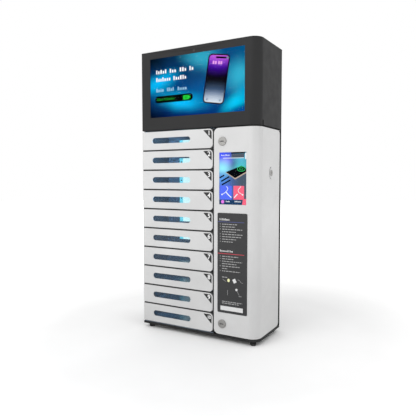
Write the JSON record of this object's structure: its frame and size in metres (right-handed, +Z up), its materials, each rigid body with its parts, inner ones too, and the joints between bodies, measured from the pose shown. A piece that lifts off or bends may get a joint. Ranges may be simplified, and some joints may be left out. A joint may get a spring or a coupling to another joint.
{
  "type": "phone charging kiosk",
  "caption": "Upright phone charging locker with a column of hinged bay doors, a wrap-around service door with a touch screen, and an advertising screen in its header.",
  "frame": {"origin": "centre of the cabinet's footprint, on the surface that its feet stand on", "axes": "+X to the right seen from the front, +Y from the front to the back, +Z up"},
  "size_m": [0.41, 0.18, 0.888],
  "materials": {
    "dark_paint": "satin powder coat, charcoal grey",
    "white_paint": "satin powder coat, off-white",
    "inner_steel": "satin powder coat inside the cabinet",
    "zinc_steel": "zinc plated",
    "lock_chrome": "polished",
    "smoked_acrylic": "smoked blue acrylic window",
    "screen_glass": "gloss",
    "lcd_module": "display module",
    "label_film": "satin printed panel",
    "black_plastic": "moulded",
    "led_diffuser": "lit diffuser",
    "circuit_board": "solder resist green",
    "foot_rubber": "matte"
  },
  "bodies": {
    "cabinet": {"base_tray": "dark_paint", "levelling_feet": "foot_rubber", "left_panel": "dark_paint", "rear_post": "dark_paint", "back_panel": "dark_paint", "back_screws": "zinc_steel", "top_cover": "dark_paint", "header_cover": "dark_paint", "header_floor": "dark_paint", "screen_panel": "lcd_module", "screen_glass": "screen_glass", "screen_rails": "zinc_steel", "webcam_module": "black_plastic", "bay_partition": "inner_steel", "bay_rear_wall": "inner_steel", "bay_shelves": "inner_steel", "door_hinge_rod": "zinc_steel", "bay_lock_cases": "zinc_steel", "bay_usb_modules": "black_plastic", "bay_light_panels": "led_diffuser", "hinge_fixed_leaf": "dark_paint", "hinge_pin": "zinc_steel", "power_supply": "zinc_steel", "controller_board": "circuit_board", "power_inlet": "black_plastic"},
    "bay_door_01": {"bay_door_01": "white_paint", "bay_window_01": "smoked_acrylic"},
    "bay_door_02": {"bay_door_02": "white_paint", "bay_window_02": "smoked_acrylic"},
    "bay_door_03": {"bay_door_03": "white_paint", "bay_window_03": "smoked_acrylic"},
    "bay_door_04": {"bay_door_04": "white_paint", "bay_window_04": "smoked_acrylic"},
    "bay_door_05": {"bay_door_05": "white_paint", "bay_window_05": "smoked_acrylic"},
    "bay_door_06": {"bay_door_06": "white_paint", "bay_window_06": "smoked_acrylic"},
    "bay_door_07": {"bay_door_07": "white_paint", "bay_window_07": "smoked_acrylic"},
    "bay_door_08": {"bay_door_08": "white_paint", "bay_window_08": "smoked_acrylic"},
    "bay_door_09": {"bay_door_09": "white_paint", "bay_window_09": "smoked_acrylic"},
    "bay_door_10": {"bay_door_10": "white_paint", "bay_window_10": "smoked_acrylic"},
    "service_door": {"service_door": "white_paint", "hinge_door_leaf": "dark_paint", "touch_screen": "lcd_module", "info_plate": "label_film", "lock_bodies": "lock_chrome", "lock_nuts": "zinc_steel", "key_plate": "white_paint", "key_plate_screws": "zinc_steel", "key_switch_body": "lock_chrome"},
    "upper_lock": {"lock_plug_upper": "lock_chrome", "lock_cam_upper": "zinc_steel"},
    "lower_lock": {"lock_plug_lower": "lock_chrome", "lock_cam_lower": "zinc_steel"},
    "key_switch": {"key_switch_plug": "lock_chrome"},
    "power_rocker": {"power_rocker": "black_plastic"}
  },
  "joints": [
    {"name": "bay_door_01_hinge", "type": "hinge", "parent": "cabinet", "child": "bay_door_01", "pos_m": [-0.199, -0.081, 0.609], "axis": [0, 0, -1], "range_deg": [0, 100]},
    {"name": "bay_door_02_hinge", "type": "hinge", "parent": "cabinet", "child": "bay_door_02", "pos_m": [-0.199, -0.081, 0.547], "axis": [0, 0, -1], "range_deg": [0, 100]},
    {"name": "bay_door_03_hinge", "type": "hinge", "parent": "cabinet", "child": "bay_door_03", "pos_m": [-0.199, -0.081, 0.485], "axis": [0, 0, -1], "range_deg": [0, 100]},
    {"name": "bay_door_04_hinge", "type": "hinge", "parent": "cabinet", "child": "bay_door_04", "pos_m": [-0.199, -0.081, 0.423], "axis": [0, 0, -1], "range_deg": [0, 100]},
    {"name": "bay_door_05_hinge", "type": "hinge", "parent": "cabinet", "child": "bay_door_05", "pos_m": [-0.199, -0.081, 0.361], "axis": [0, 0, -1], "range_deg": [0, 100]},
    {"name": "bay_door_06_hinge", "type": "hinge", "parent": "cabinet", "child": "bay_door_06", "pos_m": [-0.199, -0.081, 0.299], "axis": [0, 0, -1], "range_deg": [0, 100]},
    {"name": "bay_door_07_hinge", "type": "hinge", "parent": "cabinet", "child": "bay_door_07", "pos_m": [-0.199, -0.081, 0.237], "axis": [0, 0, -1], "range_deg": [0, 100]},
    {"name": "bay_door_08_hinge", "type": "hinge", "parent": "cabinet", "child": "bay_door_08", "pos_m": [-0.199, -0.081, 0.175], "axis": [0, 0, -1], "range_deg": [0, 100]},
    {"name": "bay_door_09_hinge", "type": "hinge", "parent": "cabinet", "child": "bay_door_09", "pos_m": [-0.199, -0.081, 0.113], "axis": [0, 0, -1], "range_deg": [0, 100]},
    {"name": "bay_door_10_hinge", "type": "hinge", "parent": "cabinet", "child": "bay_door_10", "pos_m": [-0.199, -0.081, 0.051], "axis": [0, 0, -1], "range_deg": [0, 100]},
    {"name": "service_door_hinge", "type": "hinge", "parent": "cabinet", "child": "service_door", "pos_m": [0.199, 0.081, 0.33], "axis": [0, 0, 1], "range_deg": [0, 95]},
    {"name": "upper_lock_turn", "type": "hinge", "parent": "service_door", "child": "upper_lock", "pos_m": [0.0875, -0.087, 0.5985], "axis": [0, 1, 0], "range_deg": [0, 90]},
    {"name": "lower_lock_turn", "type": "hinge", "parent": "service_door", "child": "lower_lock", "pos_m": [0.0875, -0.087, 0.0535], "axis": [0, 1, 0], "range_deg": [0, 90]},
    {"name": "key_switch_turn", "type": "hinge", "parent": "service_door", "child": "key_switch", "pos_m": [0.203, 0.006, 0.506], "axis": [1, 0, 0], "range_deg": [0, 90]},
    {"name": "power_rocker_tilt", "type": "hinge", "parent": "cabinet", "child": "power_rocker", "pos_m": [0.1375, 0.083, 0.037], "axis": [1, 0, 0], "range_deg": [-18, 0]}
  ]
}
